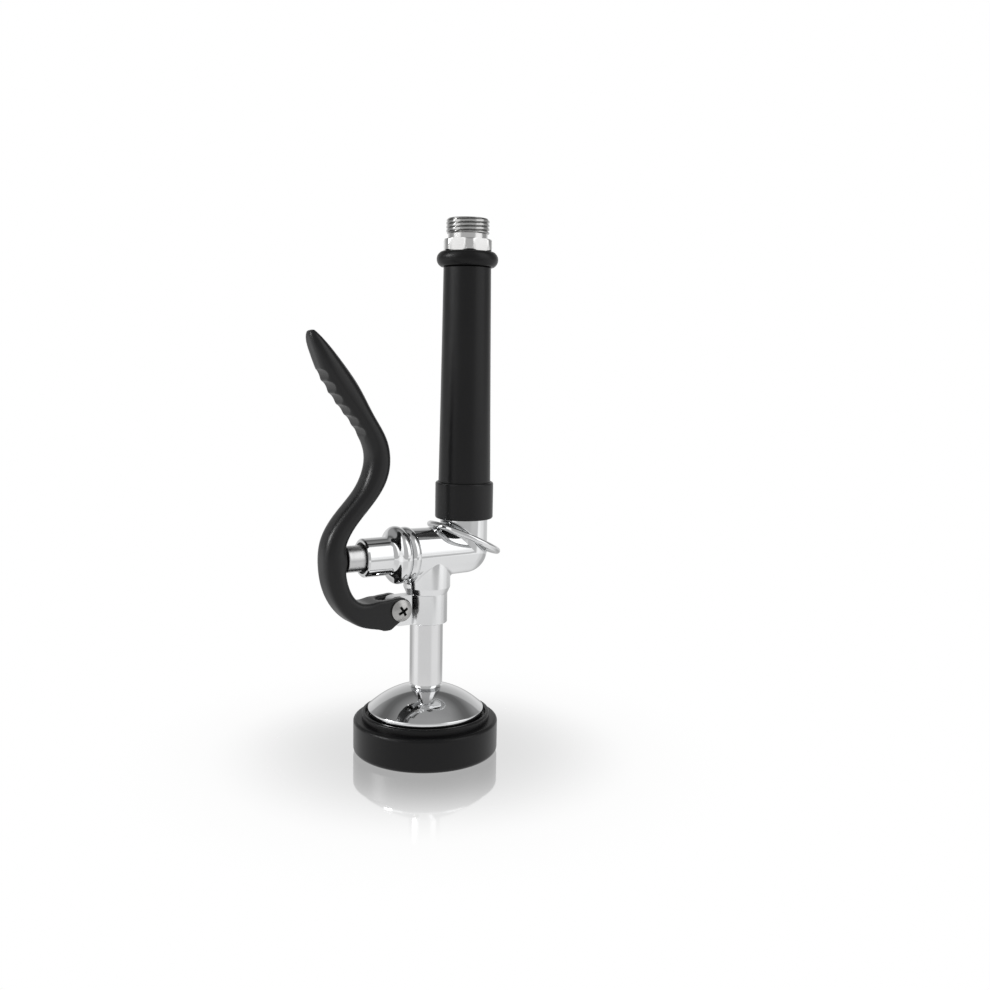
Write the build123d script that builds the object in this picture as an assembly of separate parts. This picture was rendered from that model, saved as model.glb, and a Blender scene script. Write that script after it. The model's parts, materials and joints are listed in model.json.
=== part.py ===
from build123d import *
from math import asin, atan2, cos, degrees, hypot, radians, sin, sqrt
import os

# Pre-rinse spray valve: the hand-held sprayer of a commercial kitchen.
#
# The sprayer stands on its rubber bumper. The outlet axis is Z at X = 0 and Y = 0, with Z = 0 at
# the foot of the bumper. The valve axis is parallel to X at VALVE_Z. The grip axis is vertical at
# GRIP_X. The squeeze lever lies on the -X side and turns about a screw parallel to Y.
# Water comes in at the top, runs down the grip tube, round the ball elbow and through the valve
# seat into the chamber, then down the branch and the outlet tube into the spray bell.

# ---- clearances --------------------------------------------------------------------------------
SCREWED_GAP = 0.05      # radial gap of a screwed or pressed joint
RUNNING_GAP = 0.07      # radial gap of a sliding rod in its guide
FREE_GAP = 0.3          # gap between pieces that move past each other
SEAT_GAP = 0.05         # between the shut disc and its seat
CUT_OVER = 1.0          # a cutter passes this far through a face

# ---- main lines --------------------------------------------------------------------------------
GRIP_X = 20.85          # distance of the grip axis from the outlet axis
PIVOT_X = -18.0         # lever pivot
PIVOT_RISE = 8.9        # pivot above the foot of the bracket's collar
BRANCH_L = 19.8         # valve axis above the top of the collar

# ---- bumper ring -------------------------------------------------------------------------------
BUMPER_H = 16.6         # height of the outer land
LAND_W = 4.1            # width of the land outside the lip
BUMPER_FOOT_ROUND = 2.2
BUMPER_LAND_ROUND = 1.6
LIP_GAP = 1.0           # raised lip, this far outside the bell's rim
LIP_WALL = 2.1
LIP_RISE = 3.5
LAND_FALL = 0.3         # the land falls outwards by this much
BEAD_GROOVE_H = 2.0     # room under the bell's rim, inside the lip
MOUTH_FLARE = 1.0       # the mouth's foot is this much wider than the bell's skirt
MOUTH_STRAIGHT = 3.1    # straight part of the mouth under the spray face
BUMPER_LEDGE_W = 0.8    # inner ledge under the foot of the bell's skirt
BUMPER_UNDERCUT = 0.4   # how far the rubber grips over the edge of the bell's rim

# ---- spray bell --------------------------------------------------------------------------------
DOME_SPHERE_R = 41.8
DOME_EDGE_IN = 2.5      # the dome ends in a crease, this far inside its rim
DOME_EDGE_RISE = 2.0    # and this far above it
RIM_W = 1.2             # how far the rim stands out of the skirt
RIM_Z = 20.5            # underside of the rim
RIM_T = 1.5
DOME_WALL = 1.8
SKIRT_R = 27.6
SKIRT_Z = 12.2          # foot of the skirt
SKIRT_WALL = 1.9
LEDGE_W = 1.7           # ledge that the face seal is pressed on
BELL_NECK_R = 7.2
BELL_NECK_RISE = 1.39   # top of the neck above the crown of the dome
BELL_NECK_FLARE = 1.5
BELL_SPIGOT_R = 6.0
BELL_SPIGOT_L = 11.6
BELL_SPIGOT_WALL = 1.8
BELL_SEAL_T = 0.9
BOSS_R = 3.2            # boss of the face screw, held by ribs
BOSS_Z = 19.0
BOSS_L = 8.0
RIB_COUNT = 3
RIB_T = 1.6
RIB_SINK = 1.5          # the ribs start this much above the foot of the boss

# ---- spray face --------------------------------------------------------------------------------
FACE_T = 2.5
FACE_SEAL_T = 1.0
FACE_STAND = 0.2        # the spray face sits this much inside the foot of the skirt
FACE_SCREW_R = 1.5
FACE_SCREW_HEAD_R = 3.4
FACE_SCREW_HEAD_H = 1.8
FACE_SCREW_GRIP = 6.0   # thread length inside the boss
JET_R = 0.9
JET_RING_COUNT = 3
JETS_IN_FIRST = 6       # each ring has this many more than the one inside it
JET_FIRST_R = 7.5
JET_RING_STEP = 6.0

# ---- outlet tube and lever bracket -------------------------------------------------------------
TUBE_R = 8.2
TUBE_L = 30.6           # from the bell's neck to the collar
TUBE_BORE_R = 5.2
TUBE_SPIGOT_R = 7.0
OUTLET_SEAL_T = 0.9
COLLAR_R = 10.2
COLLAR_H = 14.9
COLLAR_SEAT = 2.0       # depth of the counterbore that takes the tube's shoulder
COLLAR_ROUND = 0.5
LUG_T = 6.0
LUG_R = 5.9
LUG_TOE = 1.0           # the lug's straight foot ends this much before the pivot

# ---- valve body --------------------------------------------------------------------------------
BRANCH_R = 11.6
BRANCH_FOOT_R = 10.3
BRANCH_TAPER = 3.0
BRANCH_BLEND = 2.0      # cast blend where the branch runs into the chamber
OUTLET_SOCKET_L = 8.3
PASSAGE_R = 5.5
CHAMBER_R = 12.4
CHAMBER_END_X = -14.0
CHAMBER_BORE_R = 9.7
RIM_BEAD_R = 13.4
RIM_BEAD_W = 4.4
RIM_BEAD_EDGE = 0.7     # the bead's face is this much smaller than its crown
ELBOW_R = 11.8
ELBOW_BORE_R = 7.6
NECK_L = 27.0           # top of the neck above the valve axis
NECK_SOCKET_L = 15.0    # depth of the socket for the grip tube

# ---- valve seat and disc -----------------------------------------------------------------------
SEAT_X = 6.5
SEAT_L = 5.0
SEAT_R = 7.85
SEAT_HOLE_R = 4.2
SEAT_LIP_H = 0.8
SEAT_LIP_W = 0.8
DISC_T = 2.4
DISC_R = 5.7
HOLDER_R = 6.3
HOLDER_BACK = 1.6
HOLDER_RIM = 1.6
NUT_H = 2.3
NUT_AF = 6.0
STEM_R = 2.4
STEM_END_R = 1.9
STEM_END_SPARE = 0.6    # thread left standing past the nut

# ---- bonnet and plunger ------------------------------------------------------------------------
BARREL_R = 9.32
BARREL_L = 12.2         # straight barrel
BARREL_CHAMFER = 0.7
FLARE_L = 6.2           # ogee flare between barrel and flange
FLANGE_R = 14.1
FLANGE_T = 3.2          # from the chamber's end to the flange's crown
FLANGE_ROUND = 1.2
BONNET_THREAD_L = 8.5
BONNET_CAVITY_R = 7.95
GUIDE_L = 14.6          # bored guide of the plunger, from the barrel's end
WIPER_R = 7.6
WIPER_L = 2.3
WIPER_DEPTH = 3.0
WIPER_ROUND = 0.4
BONNET_RING_WIRE = 0.8  # O-ring between bonnet and chamber
BONNET_RING_R = 11.3
PLUNGER_R = 6.35
PLUNGER_REACH = 26.5    # plunger's end beyond the lever's pivot
PLUNGER_CHAMFER = 0.5
PLUNGER_RING_WIRE = 0.75
PLUNGER_RING_IN = 7.8   # ring groove, from the barrel's end
PLUNGER_FLANGE_T = 2.0
PLUNGER_REST_GAP = 0.1  # gap between the flange and the guide's end at rest
PLUNGER_PILOT_R = 4.4
PLUNGER_PILOT_L = 2.0
STEM_THREAD_L = 7.0     # stem length screwed into the plunger

# ---- return spring -----------------------------------------------------------------------------
SPRING_R = 6.1
SPRING_WIRE_R = 0.6
SPRING_TURNS = 6

# ---- grip --------------------------------------------------------------------------------------
GRIP_TUBE_R = 8.6
GRIP_TUBE_WALL = 1.5
NECK_RING_WIRE = 0.6
NECK_RING_RISE = 4.0    # ring groove above the floor of the socket
SLEEVE_FOOT_R = 13.05
SLEEVE_WAIST_R = 12.27
SLEEVE_TOP_R = 11.62
SLEEVE_L = 112.0
SLEEVE_ROUND = 0.6
CUFF_R = 14.45
CUFF_COVER = 11.0       # length of the neck that the cuff covers
CUFF_L = 18.3
CUFF_FOOT_ROUND = 1.0
BEAD_R = 15.0
BEAD_NECK_R = 12.9
BEAD_L = 7.2            # from the sleeve to the hexagon

# ---- inlet nipple ------------------------------------------------------------------------------
HEX_AF = 22.6
HEX_BAR_R = 12.25       # the hexagon is milled on a round bar
HEX_H = 5.8
HEX_TURN = 4.4          # where the hexagon stopped when it was screwed in, degrees
HEX_CHAMFER = 0.6
THREAD_R = 10.48        # G 1/2 outside thread
THREAD_L = 7.4
THREAD_CHAMFER = 0.8
RELIEF_R = 9.6
RELIEF_L = 2.5
NIPPLE_BORE_R = 5.6
NIPPLE_SPIGOT_L = 13.5
NIPPLE_SEAL_T = 0.6
WASHER_R = 8.3
WASHER_HOLE_R = 5.0
WASHER_T = 2.0
WASHER_SINK = 0.2

# ---- hold-down ring ----------------------------------------------------------------------------
HOLD_RING_R = 18.2
HOLD_RING_WIRE = 1.5
HOLD_RING_TILT = 25.0

# ---- lever -------------------------------------------------------------------------------------
# Stations from the tip to the fork: x and z from the pivot, thickness, width, corner radius.
LEVER_STATIONS = (
    (-43.1, 132.3, 2.4, 4.8, 1.1),
    (-42.0, 129.4, 4.9, 9.4, 2.35),
    (-39.0, 124.3, 7.6, 12.8, 3.7),
    (-33.4, 115.2, 11.2, 14.8, 5.2),
    (-24.9, 103.0, 12.3, 15.0, 5.7),
    (-16.3, 90.2, 9.6, 15.0, 4.6),
    (-10.4, 78.8, 10.7, 15.0, 5.0),
    (-9.9, 69.0, 11.1, 15.0, 5.1),
    (-15.45, 56.8, 9.8, 15.0, 4.6),
    (-25.4, 45.3, 9.6, 15.0, 4.5),
    (-32.3, 33.4, 10.5, 15.0, 4.6),
    (-32.9, 22.2, 10.9, 15.0, 4.5),
    (-30.8, 12.0, 10.3, 15.0, 3.6),
    (-25.6, 3.3, 9.9, 15.0, 2.8),
    (-17.4, -1.1, 11.8, 15.0, 1.6),
    (-8.0, -2.1, 14.6, 15.0, 0.8),
)
EAR_R = 6.05            # round end of the fork about the pivot
FORK_LAP = 1.0          # the flat-sided fork starts this far inside the arm
HEEL_BACK = 5.3         # lower corner of the fork, behind and below the pivot
HEEL_DROP = 9.4
HEEL_FACE = 4.7         # distance from the pivot to the slanted heel face
SLOT_DEPTH = 10.0       # root of the fork's slot, behind the pivot
NOTCH_COUNT = 6
NOTCH_R = 5.0
NOTCH_DEPTH = 1.1
NOTCH_FIRST = 0.116     # share of the lever's length at the first and the last notch
NOTCH_LAST = 0.316
PAD_R = 6.9             # pad that meets the plunger
PAD_CROWN_R = 48.0
PAD_GAP = 0.15
PAD_L = 5.5             # length of the pad, from its front into the arm

# ---- pivot screw -------------------------------------------------------------------------------
SCREW_R = 2.1
SCREW_HEAD_R = 5.3
SCREW_HEAD_H = 2.6
PIVOT_NUT_AF = 7.0
PIVOT_NUT_H = 3.2
SCREW_SPARE = 0.5
HEAD_SIDE = 0.35        # share of a screw head's height that is upright
RECESS_DEPTH = 0.55     # share of its height that the recess is deep

# ---- values worked out from the ones above -----------------------------------------------------
RIM_R = SKIRT_R + RIM_W
LIP_R = RIM_R + LIP_GAP + LIP_WALL
BUMPER_R = LIP_R + LAND_W
MOUTH_R = SKIRT_R + MOUTH_FLARE
DOME_EDGE_R = RIM_R - DOME_EDGE_IN
DOME_EDGE_Z = RIM_Z + RIM_T + DOME_EDGE_RISE
DOME_CENTRE_Z = DOME_EDGE_Z - sqrt(DOME_SPHERE_R ** 2 - DOME_EDGE_R ** 2)
TUBE_FOOT_Z = DOME_CENTRE_Z + DOME_SPHERE_R + BELL_NECK_RISE
COLLAR_Z = TUBE_FOOT_Z + TUBE_L
COLLAR_TOP_Z = COLLAR_Z + COLLAR_H
PIVOT_Z = COLLAR_Z + PIVOT_RISE
VALVE_Z = COLLAR_TOP_Z + BRANCH_L
FLANGE_PEAK_X = CHAMBER_END_X - FLANGE_T
FLARE_START_X = FLANGE_PEAK_X - FLARE_L
BARREL_END_X = FLARE_START_X - BARREL_L
GUIDE_END_X = BARREL_END_X + GUIDE_L
PLUNGER_RING_X = BARREL_END_X + PLUNGER_RING_IN
NECK_TOP_Z = VALVE_Z + NECK_L
NECK_SOCKET_Z = NECK_TOP_Z - NECK_SOCKET_L
NECK_RING_Z = NECK_SOCKET_Z + NECK_RING_RISE
CUFF_Z = NECK_TOP_Z - CUFF_COVER
SLEEVE_FOOT_Z = NECK_TOP_Z + FREE_GAP
SLEEVE_TOP_Z = SLEEVE_FOOT_Z + SLEEVE_L
HEX_Z = SLEEVE_TOP_Z + BEAD_L
GRIP_TUBE_TOP_Z = HEX_Z - NIPPLE_SEAL_T
SEAT_FACE_X = SEAT_X + SEAT_L + SEAT_LIP_H
DISC_X = SEAT_FACE_X + SEAT_GAP
PLUNGER_END_X = PIVOT_X - PLUNGER_REACH
PLUNGER_FLANGE_X = GUIDE_END_X + PLUNGER_REST_GAP
SPRING_START_X = PLUNGER_FLANGE_X + PLUNGER_FLANGE_T
LEVER_W = LEVER_STATIONS[-1][3]
FORK_GAP = LUG_T + 2 * FREE_GAP
TUBE_SHOULDER_Z = COLLAR_Z + COLLAR_SEAT
SOCKET_TOP_Z = COLLAR_TOP_Z + OUTLET_SOCKET_L
FACE_SEAT_R = SKIRT_R - SKIRT_WALL
LEDGE_Z = SKIRT_Z + FACE_STAND + FACE_T + FACE_SEAL_T
FACE_Z = LEDGE_Z - FACE_SEAL_T - FACE_T
THREAD_Z = HEX_Z + HEX_H + RELIEF_L
INLET_Z = THREAD_Z + THREAD_L
NIPPLE_SPIGOT_R = GRIP_TUBE_R - GRIP_TUBE_WALL - SCREWED_GAP


# ---- helpers -----------------------------------------------------------------------------------
def turned(edges, rounds=()):
    """Solid of revolution about Z from a closed outline of edges, drawn as radius and height.

    rounds holds (radius, height, fillet) for each corner of the outline that is rounded.
    """
    face = make_face(edges)
    for at_radius, at_height, fillet_radius in rounds:
        corner = face.vertices().sort_by_distance((at_radius, at_height, 0))[0]
        face = fillet(corner, fillet_radius)
    return revolve(Plane.XZ * face, Axis.Z)


def rod(radius, low, high):
    """Upright cylinder on Z between two heights."""
    return Pos(0, 0, low) * Cylinder(radius, high - low, align=(Align.CENTER, Align.CENTER, Align.MIN))


def pipe(outer, inner, low, high):
    """Upright ring or tube on Z."""
    return rod(outer, low, high) - rod(inner, low, high)


def cone(low_radius, high_radius, low, high):
    """Upright cone frustum on Z between two heights."""
    seat = (Align.CENTER, Align.CENTER, Align.MIN)
    return Pos(0, 0, low) * Cone(low_radius, high_radius, high - low, align=seat)


def hexagon_rod(across_flats, low, high):
    """Upright hexagonal bar on Z."""
    outline = RegularPolygon(across_flats / 2, 6, major_radius=False)
    return Pos(0, 0, low) * extrude(outline, high - low)


def on_valve(shape):
    """Lay a shape made on Z along the valve axis: its height becomes X."""
    return Pos(0, 0, VALVE_Z) * Rot(0, 90, 0) * shape


def on_grip(shape):
    """Move a shape made on Z to the grip axis."""
    return Pos(GRIP_X, 0, 0) * shape


def on_pivot(shape):
    """Lay a shape made on Z along the pivot, which is parallel to Y: its height becomes Y."""
    return Pos(PIVOT_X, 0, PIVOT_Z) * Rot(-90, 0, 0) * shape


def across(outline, width):
    """Plate of an XZ outline, centred on Y = 0."""
    return extrude(Plane.XZ * outline, width / 2, both=True)


def cross_recess(size, depth):
    """Cross-shaped recess of a screw head, sunk from Z = 0."""
    bar = Box(size, size / 4, 2 * depth)
    return bar + Rot(0, 0, 90) * bar


def touch_point(start, centre, radius, side):
    """Point where a line from start grazes a circle, on its left (1) or its right (-1)."""
    away = hypot(centre[0] - start[0], centre[1] - start[1])
    angle = atan2(centre[1] - start[1], centre[0] - start[0]) + side * asin(radius / away)
    reach = sqrt(away ** 2 - radius ** 2)
    return start[0] + reach * cos(angle), start[1] + reach * sin(angle)


def sphere_height(radius, at):
    """Height of a sphere's surface above its centre, at a distance from its axis."""
    return sqrt(radius ** 2 - at ** 2)


def chamber_radius(x):
    """Outer radius of the chamber, which narrows evenly towards the elbow."""
    start = CHAMBER_END_X + RIM_BEAD_W
    share = (x - start) / (GRIP_X - start)
    return CHAMBER_R + share * (ELBOW_R - CHAMBER_R)


# ---- foot: bumper, bell, spray face ------------------------------------------------------------
def bumper_ring():
    seat_r = SKIRT_R + SCREWED_GAP
    seat_z = SKIRT_Z - SCREWED_GAP
    lip_in = LIP_R - LIP_WALL
    lip_z = BUMPER_H + LIP_RISE
    groove_z = RIM_Z - BEAD_GROOVE_H
    ledge_r = FACE_SEAT_R - BUMPER_LEDGE_W
    outline = Polyline(
        (MOUTH_R, 0), (BUMPER_R, 0), (BUMPER_R, BUMPER_H), (LIP_R, BUMPER_H + LAND_FALL),
        (LIP_R, lip_z), (lip_in, lip_z), (lip_in, groove_z), (RIM_R - BUMPER_UNDERCUT, groove_z),
        (RIM_R - BUMPER_UNDERCUT, RIM_Z - SCREWED_GAP), (seat_r, RIM_Z - SCREWED_GAP), (seat_r, seat_z),
        (ledge_r, seat_z), (ledge_r, seat_z - MOUTH_STRAIGHT), close=True)
    return turned(outline, (
        (BUMPER_R, 0, BUMPER_FOOT_ROUND), (BUMPER_R, BUMPER_H, BUMPER_LAND_ROUND),
        (LIP_R, lip_z, LIP_WALL * 0.45), (lip_in, lip_z, LIP_WALL * 0.3)))


def dome_height(radius, sphere_radius=DOME_SPHERE_R):
    """Height of the dome's surface, or of a parallel sphere inside it, at a radius."""
    return DOME_CENTRE_Z + sphere_height(sphere_radius, radius)


def dome_arc(from_radius, to_radius, sphere_radius=DOME_SPHERE_R):
    """Arc of the dome's section between two radii."""
    middle = (from_radius + to_radius) / 2
    return ThreePointArc(*((r, dome_height(r, sphere_radius)) for r in (from_radius, middle, to_radius)))


def spray_bell():
    bore = BELL_SPIGOT_R - BELL_SPIGOT_WALL
    top = TUBE_FOOT_Z + BELL_SPIGOT_L
    ledge_in = FACE_SEAT_R - LEDGE_W
    inner_sphere = DOME_SPHERE_R - DOME_WALL
    # The neck runs into the dome by a hollow arc that is upright above and follows the dome below.
    flare_end = BELL_NECK_R + BELL_NECK_FLARE
    slope = asin(flare_end / DOME_SPHERE_R)
    flare_r = BELL_NECK_FLARE / (1 - sin(slope))
    flare_x = BELL_NECK_R + flare_r
    flare_z = dome_height(flare_end) + flare_r * cos(slope)
    half = (slope + radians(90)) / 2
    flare = ThreePointArc(
        (BELL_NECK_R, flare_z), (flare_x - flare_r * sin(half), flare_z - flare_r * cos(half)),
        (flare_end, dome_height(flare_end)))
    top_side = [
        Line((bore, top), (BELL_SPIGOT_R, top)), Line((BELL_SPIGOT_R, top), (BELL_SPIGOT_R, TUBE_FOOT_Z)),
        Line((BELL_SPIGOT_R, TUBE_FOOT_Z), (BELL_NECK_R, TUBE_FOOT_Z)),
        Line((BELL_NECK_R, TUBE_FOOT_Z), (BELL_NECK_R, flare_z)), flare,
        dome_arc(flare_end, DOME_EDGE_R)]
    rim_side = Polyline(
        (DOME_EDGE_R, DOME_EDGE_Z), (RIM_R, RIM_Z + RIM_T), (RIM_R, RIM_Z),
        (SKIRT_R, RIM_Z), (SKIRT_R, SKIRT_Z), (FACE_SEAT_R, SKIRT_Z), (FACE_SEAT_R, LEDGE_Z),
        (ledge_in, LEDGE_Z), (ledge_in, dome_height(ledge_in, inner_sphere)))
    bell = turned(top_side + [rim_side, dome_arc(ledge_in, bore, inner_sphere),
                              Line((bore, dome_height(bore, inner_sphere)), (bore, top))],
                  ((RIM_R, RIM_Z + RIM_T, RIM_T * 0.4),))
    hollow = turned([Polyline((0, LEDGE_Z), (ledge_in, LEDGE_Z),
                              (ledge_in, dome_height(ledge_in, inner_sphere))),
                     dome_arc(ledge_in, bore, inner_sphere),
                     Polyline((bore, dome_height(bore, inner_sphere)), (0, BOSS_Z + BOSS_L), (0, LEDGE_Z))])
    rib_box = Pos(ledge_in / 2, 0, BOSS_Z + RIB_SINK) * Box(
        ledge_in, RIB_T, DOME_SPHERE_R, align=(Align.CENTER, Align.CENTER, Align.MIN))
    ribs = [Rot(0, 0, 360 / RIB_COUNT * i) * rib_box & hollow for i in range(RIB_COUNT)]
    boss = rod(BOSS_R, BOSS_Z, BOSS_Z + BOSS_L)
    bell = bell + ribs + boss
    return bell - rod(FACE_SCREW_R + SCREWED_GAP, BOSS_Z - CUT_OVER, BOSS_Z + FACE_SCREW_GRIP)


def bell_seal():
    low = TUBE_FOOT_Z + BELL_SPIGOT_L
    return pipe(BELL_SPIGOT_R - SCREWED_GAP, BELL_SPIGOT_R - BELL_SPIGOT_WALL, low, low + BELL_SEAL_T)


def spray_face():
    plate = rod(FACE_SEAT_R - SCREWED_GAP, FACE_Z, FACE_Z + FACE_T)
    plate -= rod(FACE_SCREW_R + FREE_GAP, FACE_Z - CUT_OVER, FACE_Z + FACE_T + CUT_OVER)
    jet = rod(JET_R, FACE_Z - CUT_OVER, FACE_Z + FACE_T + CUT_OVER)
    for ring in range(JET_RING_COUNT):
        places = PolarLocations(JET_FIRST_R + JET_RING_STEP * ring, JETS_IN_FIRST * (ring + 1))
        plate -= [place * jet for place in places]
    return plate


def face_seal():
    return pipe(FACE_SEAT_R - SCREWED_GAP, FACE_SEAT_R - LEDGE_W, FACE_Z + FACE_T, LEDGE_Z)


def pan_head(radius, height):
    """Domed screw head that hangs from Z = 0, with a cross recess."""
    side = HEAD_SIDE * height
    crown_r = (radius ** 2 + (height - side) ** 2) / (2 * (height - side))
    half_way = -height + crown_r - sphere_height(crown_r, radius / 2)
    crown = ThreePointArc((0, -height), (radius / 2, half_way), (radius, -side))
    head = turned([crown, Polyline((radius, -side), (radius, 0), (0, 0), (0, -height))])
    return head - Pos(0, 0, -height) * cross_recess(radius, height * RECESS_DEPTH)


def face_screw():
    shank = rod(FACE_SCREW_R, 0, BOSS_Z + FACE_SCREW_GRIP - FACE_Z)
    return Pos(0, 0, FACE_Z) * (pan_head(FACE_SCREW_HEAD_R, FACE_SCREW_HEAD_H) + shank)


# ---- outlet tube and lever bracket -------------------------------------------------------------
def outlet_tube():
    spigot_top = SOCKET_TOP_Z - OUTLET_SEAL_T
    tube = rod(TUBE_R, TUBE_FOOT_Z, TUBE_SHOULDER_Z) + rod(TUBE_SPIGOT_R, TUBE_SHOULDER_Z, spigot_top)
    bell_socket = rod(BELL_SPIGOT_R + SCREWED_GAP, TUBE_FOOT_Z, TUBE_FOOT_Z + BELL_SPIGOT_L + BELL_SEAL_T)
    return tube - rod(TUBE_BORE_R, TUBE_FOOT_Z, spigot_top) - bell_socket


def outlet_seal():
    return pipe(TUBE_SPIGOT_R - SCREWED_GAP, TUBE_BORE_R, SOCKET_TOP_Z - OUTLET_SEAL_T, SOCKET_TOP_Z)


def lever_bracket():
    collar = turned(Polyline((0, COLLAR_Z), (COLLAR_R, COLLAR_Z), (COLLAR_R, COLLAR_TOP_Z),
                             (0, COLLAR_TOP_Z), close=True),
                    ((COLLAR_R, COLLAR_Z, COLLAR_ROUND), (COLLAR_R, COLLAR_TOP_Z, COLLAR_ROUND / 2)))
    eye = Pos(PIVOT_X, PIVOT_Z) * Circle(LUG_R)
    toe = (PIVOT_X + LUG_TOE, COLLAR_Z)
    web = make_face(Polyline(
        (0, COLLAR_Z), toe, touch_point(toe, (PIVOT_X, PIVOT_Z), LUG_R, 1), (PIVOT_X, PIVOT_Z),
        (PIVOT_X, PIVOT_Z + LUG_R), (0, COLLAR_TOP_Z), close=True))
    bracket = collar + across(eye + web, LUG_T)
    bracket -= rod(TUBE_SPIGOT_R + SCREWED_GAP, COLLAR_Z, COLLAR_TOP_Z)
    bracket -= rod(TUBE_R + SCREWED_GAP, COLLAR_Z, TUBE_SHOULDER_Z)
    return bracket - on_pivot(rod(SCREW_R + SCREWED_GAP, -LUG_T, LUG_T))


# ---- valve body --------------------------------------------------------------------------------
def valve_body():
    bead_end = CHAMBER_END_X + RIM_BEAD_W
    bead = ThreePointArc((RIM_BEAD_R - RIM_BEAD_EDGE, CHAMBER_END_X), (RIM_BEAD_R, CHAMBER_END_X + RIM_BEAD_W / 2),
                         (CHAMBER_R, bead_end))
    run = on_valve(turned([
        Line((0, CHAMBER_END_X), (RIM_BEAD_R - RIM_BEAD_EDGE, CHAMBER_END_X)), bead,
        Polyline((CHAMBER_R, bead_end), (ELBOW_R, GRIP_X), (0, GRIP_X), (0, CHAMBER_END_X))]))
    elbow = Pos(GRIP_X, 0, VALVE_Z) * Sphere(ELBOW_R)
    neck = on_grip(rod(ELBOW_R, VALVE_Z, NECK_TOP_Z))
    taper_z = COLLAR_TOP_Z + BRANCH_TAPER
    branch = rod(BRANCH_R, taper_z, VALVE_Z) + cone(BRANCH_FOOT_R, BRANCH_R, COLLAR_TOP_Z, taper_z)
    body = run + branch + elbow + neck
    crossing = body.edges().filter_by(GeomType.BSPLINE).filter_by(lambda edge: edge.center().Z < VALVE_Z)
    return fillet(crossing, BRANCH_BLEND) - water_way()


def water_way():
    """Bores, sockets and ring grooves of the valve body."""
    seat_end = SEAT_X + SEAT_L
    chamber = on_valve(rod(CHAMBER_BORE_R, CHAMBER_END_X, SEAT_X))
    seat_socket = on_valve(rod(SEAT_R + SCREWED_GAP, SEAT_X, seat_end))
    passage = on_valve(rod(ELBOW_BORE_R, seat_end, GRIP_X))
    bend = Pos(GRIP_X, 0, VALVE_Z) * Sphere(ELBOW_BORE_R)
    rise = on_grip(rod(ELBOW_BORE_R, VALVE_Z, NECK_SOCKET_Z))
    tube_socket = on_grip(rod(GRIP_TUBE_R + SCREWED_GAP, NECK_SOCKET_Z, NECK_TOP_Z))
    groove_r = GRIP_TUBE_R + 2 * NECK_RING_WIRE
    ring_groove = on_grip(rod(groove_r, NECK_RING_Z - NECK_RING_WIRE, NECK_RING_Z + NECK_RING_WIRE))
    wide = BONNET_RING_WIRE + SCREWED_GAP
    face_groove = on_valve(pipe(BONNET_RING_R + wide, BONNET_RING_R - wide, CHAMBER_END_X,
                                CHAMBER_END_X + 2 * BONNET_RING_WIRE))
    drop = rod(PASSAGE_R, SOCKET_TOP_Z, VALVE_Z)
    outlet_socket = rod(TUBE_SPIGOT_R + SCREWED_GAP, COLLAR_TOP_Z, SOCKET_TOP_Z)
    return (chamber + seat_socket + passage + bend + rise + tube_socket + ring_groove + face_groove
            + drop + outlet_socket)


def valve_seat():
    """Screwed seat with a raised lip on the inlet side."""
    seat = rod(SEAT_R, SEAT_X, SEAT_X + SEAT_L) + rod(SEAT_HOLE_R + SEAT_LIP_W, SEAT_X, SEAT_FACE_X)
    return on_valve(seat - rod(SEAT_HOLE_R, SEAT_X, SEAT_FACE_X))


# ---- bonnet, plunger and valve stem ------------------------------------------------------------
def bonnet():
    barrel_edge = BARREL_END_X + BARREL_CHAMFER
    mouth_end = BARREL_END_X + WIPER_DEPTH
    bore = PLUNGER_R + RUNNING_GAP
    groove = PLUNGER_R + 2 * PLUNGER_RING_WIRE
    low_groove = PLUNGER_RING_X - PLUNGER_RING_WIRE - SCREWED_GAP
    high_groove = PLUNGER_RING_X + PLUNGER_RING_WIRE + SCREWED_GAP
    flange_back_r = RIM_BEAD_R - FLANGE_ROUND
    thread_end = CHAMBER_END_X + BONNET_THREAD_L
    ogee = Spline((BARREL_R, FLARE_START_X), (FLANGE_R, FLANGE_PEAK_X), tangents=[(0, 1), (0, 1)])
    rim = TangentArc((FLANGE_R, FLANGE_PEAK_X), (flange_back_r, CHAMBER_END_X), tangent=(0, 1))
    outline = [
        Polyline((WIPER_R, BARREL_END_X), (BARREL_R - BARREL_CHAMFER, BARREL_END_X),
                 (BARREL_R, barrel_edge), (BARREL_R, FLARE_START_X)),
        ogee, rim,
        Polyline((flange_back_r, CHAMBER_END_X), (CHAMBER_BORE_R - SCREWED_GAP, CHAMBER_END_X),
                 (CHAMBER_BORE_R - SCREWED_GAP, thread_end), (BONNET_CAVITY_R, thread_end),
                 (BONNET_CAVITY_R, GUIDE_END_X), (bore, GUIDE_END_X), (bore, high_groove),
                 (groove, high_groove), (groove, low_groove), (bore, low_groove), (bore, mouth_end),
                 (WIPER_R, mouth_end), (WIPER_R, BARREL_END_X))]
    return on_valve(turned(outline))


def bonnet_seal():
    return on_valve(Pos(0, 0, CHAMBER_END_X + BONNET_RING_WIRE) * Torus(BONNET_RING_R, BONNET_RING_WIRE))


def plunger_wiper():
    low = BARREL_END_X + WIPER_DEPTH - WIPER_L
    inner = PLUNGER_R + RUNNING_GAP
    return on_valve(turned(Polyline((inner, low), (WIPER_R, low), (WIPER_R, low + WIPER_L),
                                    (inner, low + WIPER_L), close=True), ((inner, low, WIPER_ROUND),)))


def plunger_seal():
    ring_r = PLUNGER_R + PLUNGER_RING_WIRE + RUNNING_GAP / 2
    return on_valve(Pos(0, 0, PLUNGER_RING_X) * Torus(ring_r, PLUNGER_RING_WIRE - RUNNING_GAP / 2))


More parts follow.
